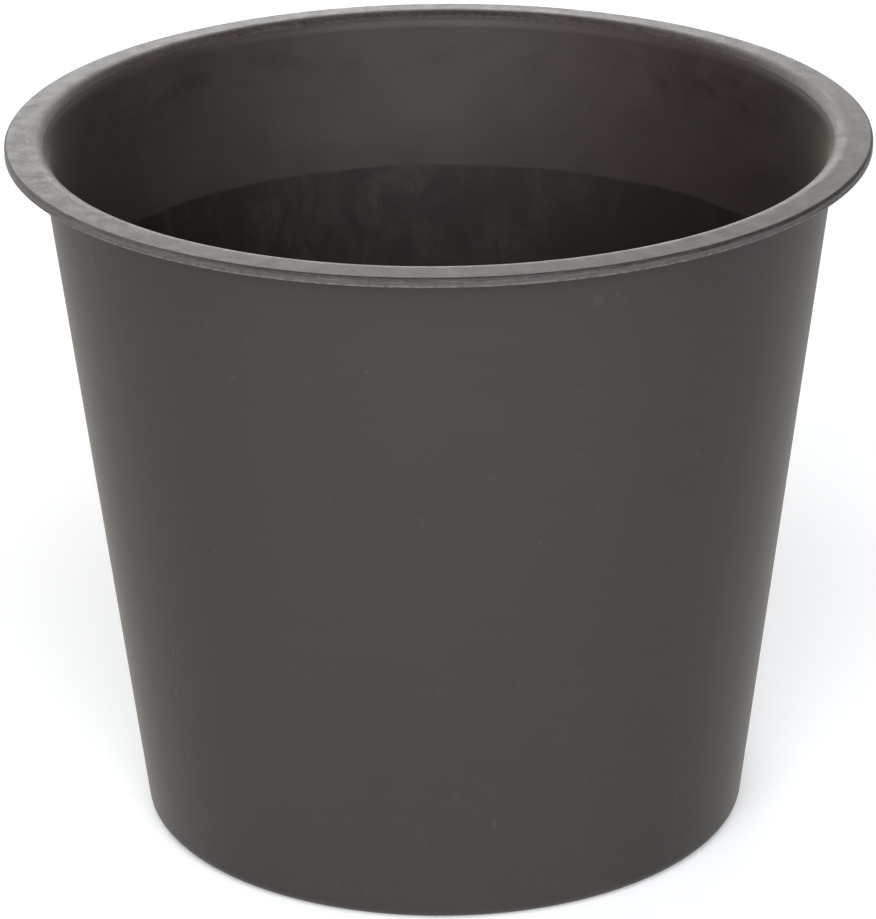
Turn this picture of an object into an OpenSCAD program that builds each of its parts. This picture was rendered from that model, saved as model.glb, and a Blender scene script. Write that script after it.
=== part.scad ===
// Round moulded bucket for cut flowers: one tapered plastic shell with a flat flange round its mouth.
// The origin is the centre of the ring that it stands on, with +Z up the middle.

/* [Overall] */
// Height from the surface it stands on to the crown of the rim
height = 252; // [150:1:400]
// Outside diameter of the wall, carried up to the crown of the rim
mouth_d = 276.5; // [210:0.5:360]
// Outside diameter of the wall at the surface it stands on, before the foot is rounded
foot_d = 214; // [140:0.5:280]

/* [Wall] */
// Thickness of the side wall
wall_t = 2.5; // [1.5:0.1:3]
// Thickness of the floor
floor_t = 2.6; // [1.5:0.1:5]
// Radius between the floor and the wall, inside
floor_round = 4; // [3:0.5:10]

/* [Rim] */
// How far the flange stands out beyond the wall
flange_w = 11.75; // [9:0.25:25]
// Thickness of the flange at its outer edge
flange_t = 3.2; // [2:0.1:5]
// Angle by which the flange's top falls towards its edge
flange_fall = 4; // [0:0.5:8]
// Radius that rolls the inside wall over into the flange's top
lip_round = 6; // [3:0.5:8]
// Radius on the flange's outer top edge
edge_round = 1; // [0.3:0.1:1.5]
// Radius between the flange's underside and the wall
under_round = 3; // [1:0.5:5]

/* [Foot] */
// Radius on the outside corner of the foot
foot_round = 5; // [2:0.5:8]
// Width of the flat ring that it stands on
foot_ring_w = 6; // [3:0.5:15]
// Depth of the hollow under the floor, inside that ring
foot_hollow = 1.5; // [1:0.1:5]
// Radius round the hollow's ceiling
hollow_round = 0.8; // [0.3:0.1:1]

/* [Hidden] */
$fn = 120;
past = 1; // how far a cut or a fill runs past the surface that it works on

rim_r = mouth_d / 2 + flange_w;
foot_r = foot_d / 2;
lean = atan((mouth_d - foot_d) / 2 / height); // the wall's angle from upright
down_wall = -90 - lean; // the direction down the wall, in the half section
up_wall = 90 - lean;

// Outside and inside radius of the wall at height z
function outer_r(z) = foot_r + z * tan(lean);
function inner_r(z) = outer_r(z) - wall_t / cos(lean);

// Centre of the lip's arc, which touches the inside wall and crowns at the full height
lip_z = height - lip_round;
lip_r = inner_r(lip_z) + lip_round / cos(lean);

// Height at radius r of the sloping plane that is the flange's top
function top_z(r) = lip_z + lip_round / cos(flange_fall) - (r - lip_r) * tan(flange_fall);
under_z = top_z(rim_r) - flange_t;
// Where that plane would meet the inside wall
lip_corner_z = top_z(inner_r(0)) / (1 + tan(lean) * tan(flange_fall));

floor_z = foot_hollow + floor_t;
// The standing ring starts where the foot's rounding leaves the flat
ring_outer_r = foot_r - foot_round / tan((90 + lean) / 2);
ring_inner_r = ring_outer_r - foot_ring_w;

// What lies between a corner, whose two sides leave it at angles a1 and a2, and the circle of
// radius r that touches both sides. It rounds a corner off, or fills one in.
module spandrel(corner, a1, a2, r) {
    half = abs(a2 - a1) / 2;
    middle = (a1 + a2) / 2;
    reach = r / tan(half);
    inward = [cos(middle), sin(middle)];
    centre = corner + r / sin(half) * inward;
    difference() {
        polygon([
            corner - past * inward,
            corner + reach * [cos(a1), sin(a1)],
            centre,
            corner + reach * [cos(a2), sin(a2)]
        ]);
        translate(centre) circle(r = r);
    }
}

// Half section of the whole outside, filled to the axis
module outside() {
    difference() {
        polygon([
            [0, 0],
            [foot_r, 0],
            [outer_r(under_z), under_z],
            [rim_r, under_z],
            [rim_r, top_z(rim_r)],
            [inner_r(lip_corner_z), lip_corner_z],
            [0, lip_corner_z]
        ]);
        spandrel([foot_r, 0], up_wall, 180, foot_round);
        spandrel([rim_r, top_z(rim_r)], 180 - flange_fall, 270, edge_round);
    }
    spandrel([outer_r(under_z), under_z], down_wall, 0, under_round);
}

// Half section of the space that holds the water
module cavity() {
    difference() {
        polygon([
            [0, floor_z],
            [inner_r(floor_z), floor_z],
            [inner_r(lip_corner_z + past), lip_corner_z + past],
            [0, lip_corner_z + past]
        ]);
        spandrel([inner_r(floor_z), floor_z], up_wall, 180, floor_round);
    }
    spandrel([inner_r(lip_corner_z), lip_corner_z], down_wall, -flange_fall, lip_round);
}

// Half section of the shallow hollow under the floor
module hollow() {
    difference() {
        translate([0, -past]) square([ring_inner_r, foot_hollow + past]);
        spandrel([ring_inner_r, foot_hollow], 180, 270, hollow_round);
    }
}

module bucket() {
    color([0.27, 0.265, 0.26])
        rotate_extrude()
            difference() {
                outside();
                cavity();
                hollow();
            }
}

bucket();
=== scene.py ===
import math
import bmesh
import bpy
from mathutils import Matrix, Vector, noise


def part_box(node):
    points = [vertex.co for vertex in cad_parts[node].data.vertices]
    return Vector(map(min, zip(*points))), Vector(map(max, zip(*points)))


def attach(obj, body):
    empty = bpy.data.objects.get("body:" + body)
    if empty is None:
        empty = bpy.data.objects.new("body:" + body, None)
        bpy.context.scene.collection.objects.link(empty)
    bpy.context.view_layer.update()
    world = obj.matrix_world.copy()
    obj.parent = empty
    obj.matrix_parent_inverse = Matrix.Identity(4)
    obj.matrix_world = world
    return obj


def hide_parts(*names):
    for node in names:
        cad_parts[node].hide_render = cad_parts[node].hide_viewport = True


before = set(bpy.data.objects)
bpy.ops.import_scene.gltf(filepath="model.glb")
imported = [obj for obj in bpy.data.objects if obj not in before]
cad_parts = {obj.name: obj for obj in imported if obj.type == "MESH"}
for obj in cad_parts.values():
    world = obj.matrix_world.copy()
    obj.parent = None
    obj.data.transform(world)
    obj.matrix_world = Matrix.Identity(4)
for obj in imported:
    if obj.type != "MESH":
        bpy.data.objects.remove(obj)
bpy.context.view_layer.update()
mm = 0.001


# the moulding: one shell, spun from half of its section

shell = {
    "footRadius": 107 * mm,  # outside of the wall, carried down to the ground
    "mouthRadius": 138.25 * mm,  # outside of the wall, carried up to the crown
    "wall": 2.5 * mm,
    "floor": 2.6 * mm,
    "hollow": 1.5 * mm,  # depth of the recess under the floor
    "ringWidth": 6 * mm,  # the flat ring that it stands on
    "flangeEdge": 3.2 * mm,  # thickness of the flange where it is trimmed
    "flangeFall": math.radians(4),
    "lipRound": 6 * mm,
    "edgeRound": 1 * mm,
    "burrRound": 0.2 * mm,
    "underRound": 3 * mm,
    "footRound": 5 * mm,
    "ringRound": 0.3 * mm,
    "hollowRound": 0.8 * mm,
    "floorRound": 4 * mm,
    "trimGroove": 1.1 * mm,  # middle of the cutter's groove, above the flange's lower edge
    "trimGrooveWidth": 0.8 * mm,
    "trimGrooveDepth": 0.17 * mm,
    "trimWear": 0.05 * mm,  # how unevenly the trimming knife cut
    "trimReach": 0.3 * mm,  # the wear stays this close to the rim
    "wearShare": 0.5,  # part of the wear that is the same all along, before dips and nicks
    "dipLength": 9 * mm,
    "dipSqueeze": 12,  # how much shorter a dip is up the trimmed face than along it
    "dipShare": 0.7,
    "nickLength": 2.6 * mm,
    "nickSqueeze": 3,
    "nickShare": 0.5,
    "steps": 480,  # round the axis
    "facet": 0.8 * mm,  # about the length of one facet of a rounded corner
    "longest": 12 * mm,  # longest edge in the section
    "straight": 1.2 * mm,  # anything longer in the section is a straight side
    "holdingEdge": 0.12 * mm,  # keeps the shading flat right up to a rounded corner
    "weld": 0.01 * mm,
}


def wallAngle(size, height):
    return math.atan((size["mouthRadius"] - size["footRadius"]) / height)


def sectionCorners(size, height, rimRadius):
    # each corner is (radius, height, rounding), from the floor's middle up the inside and down the outside
    lean = wallAngle(size, height)
    fall = size["flangeFall"]

    def outerR(z):
        return size["footRadius"] + z * math.tan(lean)

    def innerR(z):
        return outerR(z) - size["wall"] / math.cos(lean)

    lipZ = height - size["lipRound"]
    lipR = innerR(lipZ) + size["lipRound"] / math.cos(lean)

    def topZ(r):
        return lipZ + size["lipRound"] / math.cos(fall) - (r - lipR) * math.tan(fall)

    lipCornerZ = topZ(innerR(0)) / (1 + math.tan(lean) * math.tan(fall))
    underZ = topZ(rimRadius) - size["flangeEdge"]
    grooveZ = underZ + size["trimGroove"]
    halfGroove = size["trimGrooveWidth"] / 2
    floorZ = size["hollow"] + size["floor"]
    standR = size["footRadius"] - size["footRound"] / math.tan(math.pi / 4 + lean / 2)
    ringR = standR - size["ringWidth"]
    return [
        (0, floorZ, 0),
        (innerR(floorZ), floorZ, size["floorRound"]),
        (innerR(lipCornerZ), lipCornerZ, size["lipRound"]),
        (rimRadius, topZ(rimRadius), size["edgeRound"]),
        (rimRadius, grooveZ + halfGroove, 0),
        (rimRadius - size["trimGrooveDepth"], grooveZ, 0),
        (rimRadius, grooveZ - halfGroove, 0),
        (rimRadius, underZ, size["burrRound"]),
        (outerR(underZ), underZ, size["underRound"]),
        (size["footRadius"], 0, size["footRound"]),
        (ringR, 0, size["ringRound"]),
        (ringR, size["hollow"], size["hollowRound"]),
        (0, size["hollow"], 0),
    ]


def roundCorner(bm, corner, radius, facet):
    # a vertex bevel reaches this far along both edges for a fillet of the radius
    ends = [edge.other_vert(corner).co - corner.co for edge in corner.link_edges]
    turn = ends[0].angle(ends[1])
    segments = max(3, round(radius / facet) + 2)
    bmesh.ops.bevel(
        bm, geom=[corner], offset=radius / math.tan(turn / 2), offset_type="OFFSET",
        segments=segments, profile=0.5, affect="VERTICES", material=-1,
    )


def longerEdge(vert):
    return max(vert.link_edges, key=lambda edge: edge.calc_length())


def holdFlat(bm, edge, size):
    # a short edge at each end, then even cuts between
    end = edge.verts[0]
    for side in range(2):
        cut = bmesh.utils.edge_split(edge, end, size["holdingEdge"] / edge.calc_length())[1]
        edge = longerEdge(cut)
        end = edge.other_vert(cut)
    cuts = math.ceil(edge.calc_length() / size["longest"]) - 1
    if cuts:
        bmesh.ops.subdivide_edges(bm, edges=[edge], cuts=cuts)


def wearTrimmedFace(bm, size, rimRadius):
    # the knife left long shallow dips, so the face is a little uneven along its length
    def uneven(place, length, squeeze):
        return noise.noise(Vector((place.x, place.y, place.z * squeeze)) / length)

    for vert in bm.verts:
        around = vert.co.xy.length
        if around > rimRadius - size["trimReach"]:
            dips = uneven(vert.co, size["dipLength"], size["dipSqueeze"])
            nicks = uneven(vert.co, size["nickLength"], size["nickSqueeze"])
            share = size["wearShare"] + size["dipShare"] * dips + size["nickShare"] * nicks
            vert.co.xy *= 1 - size["trimWear"] * max(0, share) / around


def makeShell(size):
    low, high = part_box("bucket")
    corners = sectionCorners(size, high.z - low.z, high.x)
    bm = bmesh.new()
    verts = [bm.verts.new((r, 0, z)) for r, z, rounding in corners]
    for one, two in zip(verts, verts[1:]):
        bm.edges.new((one, two))
    for vert, (r, z, rounding) in zip(verts, corners):
        if rounding:
            roundCorner(bm, vert, rounding, size["facet"])
    for edge in [edge for edge in bm.edges if edge.calc_length() > size["straight"]]:
        holdFlat(bm, edge, size)
    bmesh.ops.spin(
        bm, geom=bm.verts[:] + bm.edges[:], cent=(0, 0, 0), axis=(0, 0, 1), dvec=(0, 0, 0),
        angle=2 * math.pi, steps=size["steps"], use_merge=True, use_duplicate=False,
    )
    bmesh.ops.remove_doubles(bm, verts=bm.verts, dist=size["weld"])
    bmesh.ops.recalc_face_normals(bm, faces=bm.faces)
    wearTrimmedFace(bm, size, high.x)
    for face in bm.faces:
        face.smooth = True
    mesh = bpy.data.meshes.new("bucketShell")
    bm.to_mesh(mesh)
    bm.free()
    piece = bpy.data.objects.new("bucketShell", mesh)
    bpy.context.scene.collection.objects.link(piece)
    print("shell: faces", len(mesh.polygons))
    return piece


bucketShell = makeShell(shell)
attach(bucketShell, "root")
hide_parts("bucket")


# the plastic

class Wire:
    # a shader socket that can stand in a Python sum

    def __init__(self, tree, socket=None):
        self.tree = tree
        self.socket = socket

    def node(self, kind, settings, inputs, output=0):
        made = self.tree.nodes.new(kind)
        for name, value in settings.items():
            setattr(made, name, value)
        for name, value in inputs.items():
            if isinstance(value, Wire):
                self.tree.links.new(value.socket, made.inputs[name])
            else:
                made.inputs[name].default_value = value
        return Wire(self.tree, made.outputs[output])

    def pick(self, output):
        # another output of the same node
        return Wire(self.tree, self.socket.node.outputs[output])

    def math(self, operation, first, second):
        return self.node("ShaderNodeMath", {"operation": operation}, {0: first, 1: second})

    def __add__(self, other):
        return self.math("ADD", self, other)

    def __radd__(self, other):
        return self.math("ADD", other, self)

    def __sub__(self, other):
        return self.math("SUBTRACT", self, other)

    def __rsub__(self, other):
        return self.math("SUBTRACT", other, self)

    def __mul__(self, other):
        return self.math("MULTIPLY", self, other)

    def __rmul__(self, other):
        return self.math("MULTIPLY", other, self)

    def __truediv__(self, other):
        return self.math("DIVIDE", self, other)

    def __pow__(self, other):
        return self.math("POWER", self, other)

    def __abs__(self):
        return self.math("ABSOLUTE", self, 0)

    def upTo(self, limit):
        return self.math("MINIMUM", self, limit)

    def fade(self, low, high):
        # 0 up to low and 1 from high on
        soft = {"interpolation_type": "SMOOTHSTEP"}
        return self.node("ShaderNodeMapRange", soft, {0: self, 1: low, 2: high})


plastic = {
    "deep": (0.005, 0.002, 0.001, 1),  # the plastic where nothing has touched it
    "pale": (0.102, 0.086, 0.08, 1),  # the same plastic scratched or chalky
    "cut": (0.1, 0.094, 0.093, 1),  # and where the trimming knife went through it
    "dust": 0.13,
    "dustRough": 0.28,
    "dustTint": (1, 0.9, 0.74, 1),
    "refraction": 1.5,
    # each surface: tone from deep at 0 to pale at 1, roughness, how far patterns swing both, relief in mm
    "body": {
        "tone": 0.115, "toneSwing": {"broad": 0.05, "flow": 0.05, "fine": 0.06},
        "rough": 0.58, "roughSwing": {"broad": 0.1, "fine": 0.08},
        "relief": {"fine": 0.004, "flow": 0.012, "broad": 0.03},
    },
    "rim": {
        "tone": 0.35, "toneSwing": {"mottle": 0.9, "patches": 0.3, "hair": 0.5, "fine": 0.7},
        "rough": 0.5, "roughSwing": {"mottle": 0.35, "patches": 0.25},
        "relief": {"mottle": 0.018, "fine": 0.012, "hair": 0.008},
    },
    "trim": {
        "tone": 0.43, "toneSwing": {"drag": 1.1, "chatter": 0.9},
        "rough": 0.62, "roughSwing": {"drag": 0.2},
        "relief": {"drag": 0.02, "chatter": 0.02},
    },
    "inside": {
        "tone": 0.21, "toneSwing": {"level": 0.08, "haze": 0.13, "fine": 0.12, "blotches": 0.2},
        "rough": 0.57, "roughSwing": {"haze": 0.1},
        "relief": {"fine": 0.004, "level": 0.02, "haze": 0.04},
    },
    "stain": {
        "tone": 0, "toneSwing": {"fine": 0.03},
        "rough": 0.62, "roughSwing": {},
    },
    # cloudy marks: length and height of one mark in mm, detail, roughness, distortion, slant
    "marks": {
        "broad": (60, 90, 4, 0.55, 0.6, 0),
        "flow": (34, 3.5, 3, 0.55, 0.2, 0.25),
        "hair": (26, 0.35, 3, 0.7, 0, 0),
        "drag": (12, 0.28, 4, 0.65, 0.3, 0),
        "chatter": (2.2, 1.1, 4, 0.7, 0.5, 0),
        "level": (150, 2.6, 4, 0.6, 0, 0),
        "spots": (15, 9, 2, 0.5, 0.4, 0),
        "haze": (70, 60, 4, 0.6, 1, 0),
        "blotches": (22, 18, 3, 0.55, 0.3, 0),
        "runs": (3.2, 60, 1, 0.4, 0, 0),
        "clouds": (17, 22, 5, 0.6, 0.9, 0),
        "veins": (12, 60, 2, 0.5, 1.4, 0),
        "ripple": (16, 16, 3, 0.5, 0, 0),
        "nibble": (3, 3, 3, 0.5, 0, 0),
    },
    "markRadius": 140,  # mm, where the marks have the lengths above
    # grains: size in mm and detail
    "grains": {"fine": (0.7, 2), "mottle": (1.5, 4), "patches": (7, 2), "specks": (2.6, 0)},
    "grainRough": 0.6,
    # how far a pattern has to rise before it shows, and where it shows in full
    "cuts": {
        "specks": (0.8, 0.86), "chatter": (0.35, 0.6), "spots": (0.45, 0.75), "runs": (0.66, 0.74),
        "clouds": (0.42, 0.72),
    },
    "veinWidth": 0.035,
    "veinLight": 0.3,  # what is left of the clouds inside a vein
    # what each of these adds to the tone; some stand in for light and shade: painted shade under the flange,
    # towards either side of the body, on its right and on the trimmed face's top corner, and painted light
    # on the trimmed face's left
    "tones": {
        "specks": 0.12, "paintedShadeUnderFlange": -0.14, "sides": -0.06, "paintedShadeRight": -0.04, "paleLowerEdge": 0.4,
        "paintedLightLeft": 0.2, "paintedShadeCorner": -0.28, "spots": -0.09, "runs": 0.025, "clouds": 0.15,
    },
    "cloudRough": -0.12,
    "cloudRelief": 0.02,  # mm
    # pairs in mm: a look starts at the first and is complete at the second
    "trimRadius": (149.1, 149.6),
    "rimHeight": (249.2, 250.4),
    "wallDepth": (0.9, 1.6),  # in from the outside of the wall
    "floorHeight": (2.2, 3.4),
    "paintedShadeHeight": (239, 247.5),  # painted shade: the body is darker under the flange, where the flange shades it
    # painted shade: a dark line where the top edge of the trimmed face rounds over
    "paintedShadeCornerHeight": (250.1, 250.6),
    "paleLowerEdgeHeight": (248.65, 248.95),  # paler in patches along the lower edge, below this
    "rubbedFrom": (228, 236),
    "rubbedUpTo": (240, 247),
    "thinning": (20, 75),  # the clouds in the stain thin out over this, to the right of the middle
    "thinned": 0.6,
    "shoreWidth": (0.7, 1.7),
    "waterLine": 195,  # mm above the ground
    "shoreRipple": 1.6,  # mm
    "shoreNibble": 0.8,  # mm
    # pairs of sines of the bearing from the front, for painted shade towards either side of the body and on
    # its right, and painted light on the trimmed face's left
    "sides": (0.35, 0.75),
    "paintedShadeRight": (0.5, 0.9),
    "paintedLightLeft": (0.3, 0.8),
    # small knocks on the wall: bearing from the front, height in mm, size in mm, added tone, depth in mm
    "knocks": [
        (22, 235, 3.5, 0.09, 0.02),
        (26, 233, 1.5, 0.05, 0.02),
        (-60, 228, 2, 0.02, 0.1),
        (-53, 87, 2, 0.02, 0.12),
        (-54, 69, 2, 0.02, 0.1),
        (-53, 45, 1.6, 0.02, 0.12),
    ],
    "knockEdge": (0.3, 1),
    "knockRagged": 2.5,
}


class Surface:
    # the patterns that every part of the plastic is made from; lengths are in mm

    def __init__(self, tree, look, size):
        self.look = look
        self.start = Wire(tree)
        self.made = {}
        place = self.start.node("ShaderNodeTexCoord", {}, {}, "Object")
        scaled = {"Vector": place, "Scale": 1 / mm}
        self.place = self.start.node("ShaderNodeVectorMath", {"operation": "SCALE"}, scaled)
        self.x = self.start.node("ShaderNodeSeparateXYZ", {}, {0: self.place}, "X")
        self.y = self.x.pick("Y")
        self.z = self.x.pick("Z")
        self.radius = (self.x * self.x + self.y * self.y) ** 0.5
        self.roundX = self.x / self.radius
        self.roundY = self.y / self.radius
        # 1 on the wall and falling to the middle of the floor, where the marks would crowd together
        self.spread = (self.radius * mm / (size["footRadius"] - size["wall"])).upTo(1)

    def coords(self, around, up, slant):
        scale = self.look["markRadius"] / around
        across = {"X": self.roundX * self.spread * scale, "Y": self.roundY * self.spread * scale}
        across["Z"] = (self.z + self.y * slant) / up
        return self.start.node("ShaderNodeCombineXYZ", {}, across)

    def pattern(self, name):
        if name not in self.made:
            if name in self.look["marks"]:
                around, up, detail, rough, bend, slant = self.look["marks"][name]
                kinds = {"Vector": self.coords(around, up, slant), "Scale": 1, "Distortion": bend}
            else:
                length, detail = self.look["grains"][name]
                rough = self.look["grainRough"]
                kinds = {"Vector": self.place, "Scale": 1 / length}
            kinds.update({"Detail": detail, "Roughness": rough})
            self.made[name] = self.start.node("ShaderNodeTexNoise", {}, kinds)
        return self.made[name]

    def swing(self, part, value):
        # the part's tone or roughness, swung either way by its patterns
        wire = self.look[part][value]
        for name, amount in self.look[part][value + "Swing"].items():
            wire = wire + amount * (self.pattern(name) - 0.5)
        return wire

    def cut(self, name):
        # only the highest parts of a pattern
        return self.pattern(name).fade(*self.look["cuts"][name])

    def relief(self, part):
        return sum(amount * self.pattern(name) for name, amount in self.look[part]["relief"].items())

    def knocks(self, size, lean):
        # tone and depth of the knocks, each with a ragged edge
        tone = 0
        dents = 0
        for bearing, up, reach, paler, depth in self.look["knocks"]:
            bearing = math.radians(bearing)
            wall = size["footRadius"] / mm + up * math.tan(lean)
            ends = {0: self.place, 1: (wall * math.sin(bearing), -wall * math.cos(bearing), up)}
            away = self.start.node("ShaderNodeVectorMath", {"operation": "DISTANCE"}, ends, "Value")
            ragged = away / reach + self.look["knockRagged"] * (self.pattern("mottle") - 0.5)
            knock = 1 - ragged.fade(*self.look["knockEdge"])
            tone = tone + paler * knock
            dents = dents + depth * knock
        return tone, dents


def charcoalPlastic(look, size):
    low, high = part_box("bucket")
    lean = wallAngle(size, high.z - low.z)
    material = bpy.data.materials.new("charcoalPlastic")
    material.use_nodes = True
    tree = material.node_tree
    shader = tree.nodes["Principled BSDF"]
    shader.inputs["IOR"].default_value = look["refraction"]
    # fine dust and scratches catch the light at a glancing angle
    shader.inputs["Sheen Weight"].default_value = look["dust"]
    shader.inputs["Sheen Roughness"].default_value = look["dustRough"]
    shader.inputs["Sheen Tint"].default_value = look["dustTint"]
    face = Surface(tree, look, size)
    pattern = face.pattern
    tones = look["tones"]
    z = face.z

    # where each kind of surface lies
    outerWall = size["footRadius"] / mm + z * math.tan(lean)
    trimmed = face.radius.fade(*look["trimRadius"])
    rimTop = z.fade(*look["rimHeight"]) * (1 - trimmed)
    cavity = (outerWall - face.radius).fade(*look["wallDepth"]) * z.fade(*look["floorHeight"])
    inside = cavity * (1 - rimTop)
    body = (1 - inside) * (1 - rimTop) * (1 - trimmed)
    shore = z + look["shoreRipple"] * pattern("ripple") + look["shoreNibble"] * pattern("nibble")
    stained = inside * (1 - (shore - look["waterLine"]).fade(*look["shoreWidth"]))
    clean = inside - stained

    # body: flow marks, a few pale specks and knocks, then painted shade: darker under the flange, towards
    # either side and on the right
    knockTone, dents = face.knocks(size, lean)
    bodyTone = face.swing("body", "tone") + tones["specks"] * face.cut("specks") + knockTone
    bodyTone = bodyTone + tones["paintedShadeUnderFlange"] * z.fade(*look["paintedShadeHeight"])
    bodyTone = bodyTone + tones["sides"] * abs(face.roundX).fade(*look["sides"])
    bodyTone = bodyTone + tones["paintedShadeRight"] * face.roundX.fade(*look["paintedShadeRight"])

    # trimmed face: drag marks along the cut, paler in patches along the lower edge, painted light on the
    # left and a painted dark line of shade where the top edge rounds over
    paintedLightLeft = (0 - face.roundX).fade(*look["paintedLightLeft"])
    paleLowerEdge = (1 - z.fade(*look["paleLowerEdgeHeight"])) * face.cut("chatter")
    paintedShadeCorner = z.fade(*look["paintedShadeCornerHeight"]) * (1 - paintedLightLeft)
    trimTone = face.swing("trim", "tone") + tones["paleLowerEdge"] * paleLowerEdge
    trimTone = trimTone + tones["paintedLightLeft"] * paintedLightLeft + tones["paintedShadeCorner"] * paintedShadeCorner

    # inside: level flow lines, rubbed spots under the lip and a few runs down the wall
    rubbed = z.fade(*look["rubbedFrom"]) * (1 - z.fade(*look["rubbedUpTo"]))
    insideTone = face.swing("inside", "tone") + tones["spots"] * face.cut("spots") * rubbed
    insideTone = insideTone + tones["runs"] * face.cut("runs")

    # below the water line: darker, clouded, with dark veins that run down
    clouds = face.cut("clouds") * (1 - look["thinned"] * face.x.fade(*look["thinning"]))
    clear = abs(pattern("veins") - 0.5).fade(0, look["veinWidth"])
    veined = look["veinLight"] + (1 - look["veinLight"]) * clear
    stainTone = face.swing("stain", "tone") + tones["clouds"] * clouds * veined

    tone = body * bodyTone + rimTop * face.swing("rim", "tone") + trimmed * trimTone
    tone = tone + clean * insideTone + stained * stainTone
    ends = {"Factor": trimmed, 6: look["pale"], 7: look["cut"]}
    palest = face.start.node("ShaderNodeMix", {"data_type": "RGBA"}, ends, 2)
    ends = {"Factor": tone, 6: look["deep"], 7: palest}
    colour = face.start.node("ShaderNodeMix", {"data_type": "RGBA"}, ends, 2)
    tree.links.new(colour.socket, shader.inputs["Base Color"])

    rough = body * face.swing("body", "rough") + rimTop * face.swing("rim", "rough")
    rough = rough + trimmed * face.swing("trim", "rough") + clean * face.swing("inside", "rough")
    rough = rough + stained * (face.swing("stain", "rough") + look["cloudRough"] * clouds)
    tree.links.new(rough.socket, shader.inputs["Roughness"])

    height = body * (face.relief("body") - dents) + rimTop * face.relief("rim")
    height = height + trimmed * face.relief("trim") + inside * face.relief("inside")
    height = height - stained * look["cloudRelief"] * clouds
    bump = face.start.node("ShaderNodeBump", {}, {"Height": height, "Distance": mm, "Strength": 1}, "Normal")
    tree.links.new(bump.socket, shader.inputs["Normal"])
    print("plastic: nodes", len(tree.nodes))
    return material


bucketShell.data.materials.append(charcoalPlastic(plastic, shell))


# the floor, the light and the camera

studio = {
    "aimHeight": 126 * mm,
    "distance": 1.7749,
    "elevation": math.radians(22.215),
    "roll": math.radians(0.573),
    "focal": 195.55,  # mm
    "sensor": 36,  # mm
    "shiftX": -0.0042,
    "shiftY": 0.00627,
    "nearest": 0.05,
    "farthest": 50,
    "floorSize": 12,
    "floorColour": (0.9, 0.9, 0.9, 1),
    "floorRough": 0.9,
    "floorTint": (0.94, 1, 1.06, 1),
    "worldGlow": 0.17,
    "worldWarmth": 0.06,
    "floorGlow": 0.22,
    "lampDistance": 3,
    "lampAim": 150 * mm,  # height that the lamps face
}

# name: bearing from the camera's side, elevation, width, height, glow, warmth
softBoxes = {
    "frontLeft": (-48, 24, 2.0, 0.75, 2.2, 0.16),
    "frontMiddle": (-8, 24, 2.0, 0.75, 3.4, -0.05),
    "frontRight": (32, 24, 2.0, 0.75, 3.3, -0.03),
    "stripLeft": (-35, 14, 1.5, 0.42, 2.2, 0.12),
    "stripMiddle": (-4, 14, 1.5, 0.42, 4.6, -0.06),
    "stripRight": (28, 14, 1.5, 0.42, 8.4, 0),
    "lowLeft": (-35, 5, 1.4, 0.5, 2.2, 0.12),
    "lowMiddle": (-5, 5, 1.5, 0.5, 1.8, -0.04),
    "narrow": (-4, 19, 0.6, 0.9, 3.8, -0.06),
    "upperFront": (-8, 37, 2.0, 0.7, 3.5, -0.02),
    "overhead": (0, 55, 1.6, 1.2, 5.4, 0),
    "backStrip": (180, 14, 1.8, 0.42, 5.4, -0.01),
    "backPanel": (195, 25, 2.6, 0.75, 5.1, 0),
    "sideLeft": (-120, 26, 1.4, 0.6, 1.4, 0.04),
    "backLeft": (215, 13, 1.4, 0.6, 3.2, 0.04),
    "backRight": (148, 14, 1.2, 0.6, 2.8, -0.03),
}


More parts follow.
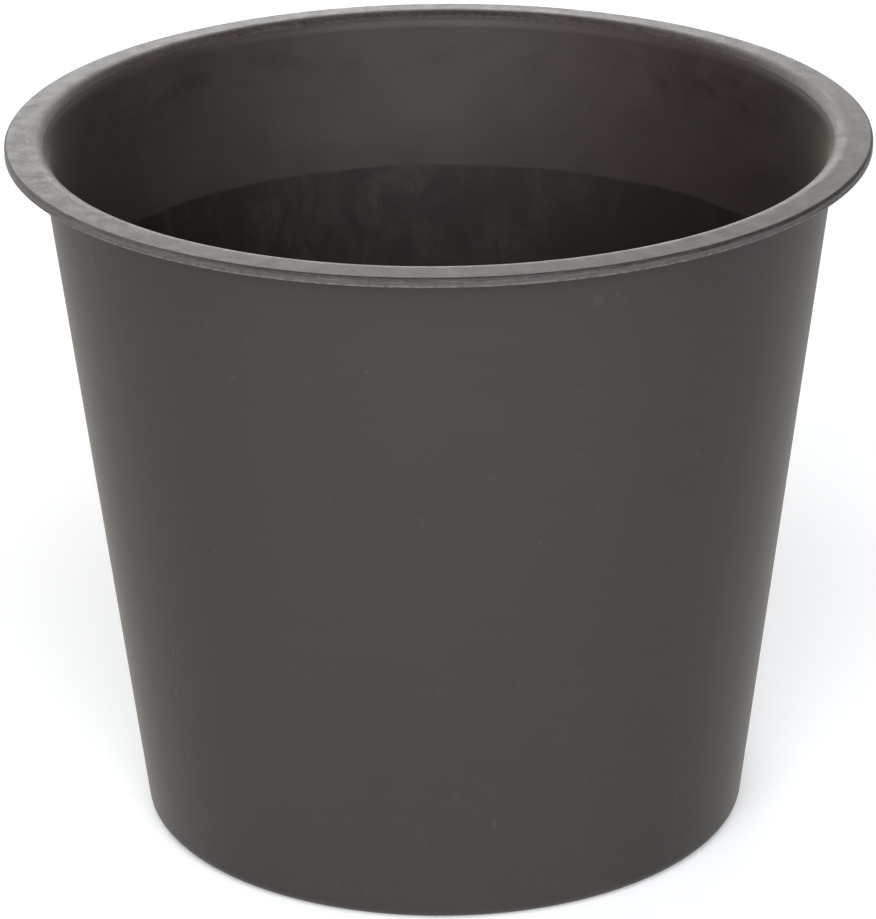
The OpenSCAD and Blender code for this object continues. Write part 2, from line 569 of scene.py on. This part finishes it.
def makeFloor(size):
    bm = bmesh.new()
    bmesh.ops.create_grid(bm, x_segments=1, y_segments=1, size=size["floorSize"] / 2)
    mesh = bpy.data.meshes.new("paleFloor")
    bm.to_mesh(mesh)
    bm.free()
    floor = bpy.data.objects.new("paleFloor", mesh)
    bpy.context.scene.collection.objects.link(floor)
    material = bpy.data.materials.new("palePaper")
    material.use_nodes = True
    paper = material.node_tree.nodes["Principled BSDF"].inputs
    paper["Base Color"].default_value = size["floorColour"]
    paper["Roughness"].default_value = size["floorRough"]
    paper["Emission Color"].default_value = size["floorTint"]
    paper["Emission Strength"].default_value = size["floorGlow"]
    mesh.materials.append(material)


def makeCamera(size):
    data = bpy.data.cameras.new("camera")
    data.sensor_width = size["sensor"]
    data.lens = size["focal"]
    data.shift_x = size["shiftX"]
    data.shift_y = size["shiftY"]
    data.clip_start = size["nearest"]
    data.clip_end = size["farthest"]
    camera = bpy.data.objects.new("camera", data)
    bpy.context.scene.collection.objects.link(camera)
    back = Vector((0, -math.cos(size["elevation"]), math.sin(size["elevation"])))
    camera.location = Vector((0, 0, size["aimHeight"])) + back * size["distance"]
    turn = back.to_track_quat("Z", "Y").to_matrix() @ Matrix.Rotation(-size["roll"], 3, "Z")
    camera.rotation_euler = turn.to_euler()
    bpy.context.scene.camera = camera


def makeSoftBox(size, name, bearing, elevation, width, height, glow, warmth):
    bearing = math.radians(bearing)
    elevation = math.radians(elevation)
    level = math.cos(elevation)
    away = Vector((math.sin(bearing) * level, -math.cos(bearing) * level, math.sin(elevation)))
    data = bpy.data.lights.new(name, "AREA")
    data.shape = "RECTANGLE"
    data.size = width
    data.size_y = height
    data.energy = glow * math.pi * width * height
    data.color = (1 + warmth, 1, 1 - warmth)
    lamp = bpy.data.objects.new(name, data)
    lamp.location = away * size["lampDistance"] + Vector((0, 0, size["lampAim"]))
    lamp.rotation_euler = away.to_track_quat("Z", "Y").to_euler()
    lamp.visible_camera = False
    bpy.context.scene.collection.objects.link(lamp)


def makeWorld(size):
    world = bpy.data.worlds.new("studioWhite")
    bpy.context.scene.world = world
    world.use_nodes = True
    background = world.node_tree.nodes["Background"]
    background.inputs["Color"].default_value = (1 + size["worldWarmth"], 1, 1 - size["worldWarmth"], 1)
    background.inputs["Strength"].default_value = size["worldGlow"]


makeFloor(studio)
makeCamera(studio)
makeWorld(studio)
for boxName, boxPlace in softBoxes.items():
    makeSoftBox(studio, boxName, *boxPlace)
bpy.context.scene.view_settings.view_transform = "Standard"
print("studio: soft boxes", len(softBoxes))
